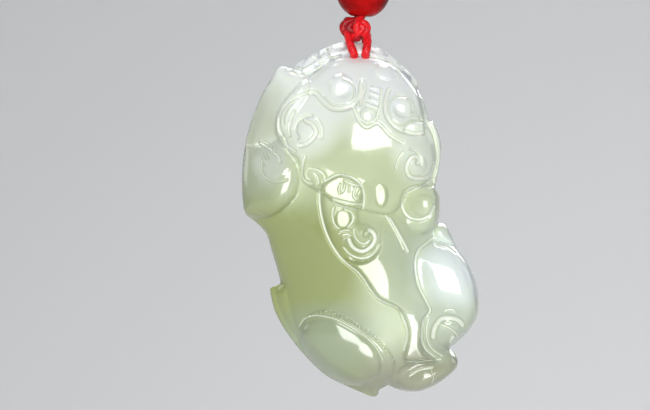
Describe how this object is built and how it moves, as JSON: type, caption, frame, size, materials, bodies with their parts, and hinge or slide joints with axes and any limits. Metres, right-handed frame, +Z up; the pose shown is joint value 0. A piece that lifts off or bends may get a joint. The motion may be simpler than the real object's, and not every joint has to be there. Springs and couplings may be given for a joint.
{
  "type": "jade pixiu pendant on a red neck cord",
  "caption": "Carved pale jade guardian beast with curled mane and haunches, hung from a red bead and a knotted cord loop that goes over the head.",
  "frame": {"origin": "where the neck cord rests on the nape of the neck, at the middle of its inner side", "axes": "+Z up, -Y the way the wearer and the carved face look, +X to the right as the carved face is seen"},
  "size_m": [0.1198, 0.1312, 0.2597],
  "materials": {
    "jade": "polished",
    "bead": "polished",
    "red_cord": "braided satin"
  },
  "bodies": {
    "root": {"jade_pixiu": "jade", "loop_cord_left": "red_cord", "loop_cord_right": "red_cord", "lower_knot": "red_cord", "bead": "bead", "bead_cord_left": "red_cord", "bead_cord_right": "red_cord", "upper_knot": "red_cord", "neck_cord": "red_cord"}
  },
  "joints": []
}
